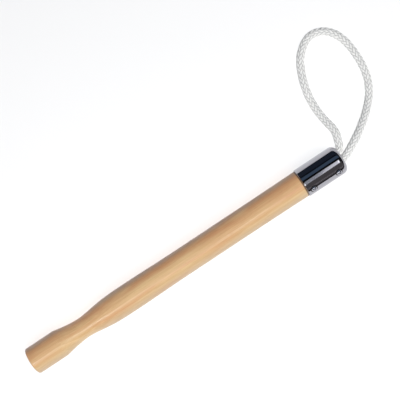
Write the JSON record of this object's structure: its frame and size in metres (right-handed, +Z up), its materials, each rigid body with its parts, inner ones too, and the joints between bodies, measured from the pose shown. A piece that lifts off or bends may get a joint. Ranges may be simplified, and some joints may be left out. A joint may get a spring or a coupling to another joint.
{
  "type": "rope twitch",
  "caption": "Turned wooden handle with a flared butt and a steel end cap that holds a loop of braided rope, for looping round and twisting tight.",
  "frame": {"origin": "on the surface that the tool lies on, below the middle of the handle and its cap", "axes": "+X along the handle from the butt to the cap, +Y to the side that the loop leans to, +Z up"},
  "size_m": [0.5421, 0.1687, 0.0372],
  "materials": {
    "wood": "pale hardwood under clear gloss varnish",
    "cap_steel": "polished bright chrome plate",
    "screw_steel": "bright plated, with light wear in the recess",
    "rope": "white braided synthetic cord with a slight sheen"
  },
  "bodies": {
    "handle_body": {"handle": "wood", "cap": "cap_steel", "cap_screw": "screw_steel", "rope_screw": "screw_steel", "rope_tail_left": "rope", "rope_tail_right": "rope"},
    "loop_body": {"rope_loop": "rope"}
  },
  "joints": [
    {"name": "loop_swing", "type": "hinge", "parent": "handle_body", "child": "loop_body", "pos_m": [0.226, 0, 0.0186], "axis": [0, 0, 1], "range_deg": [-45, 0]}
  ]
}
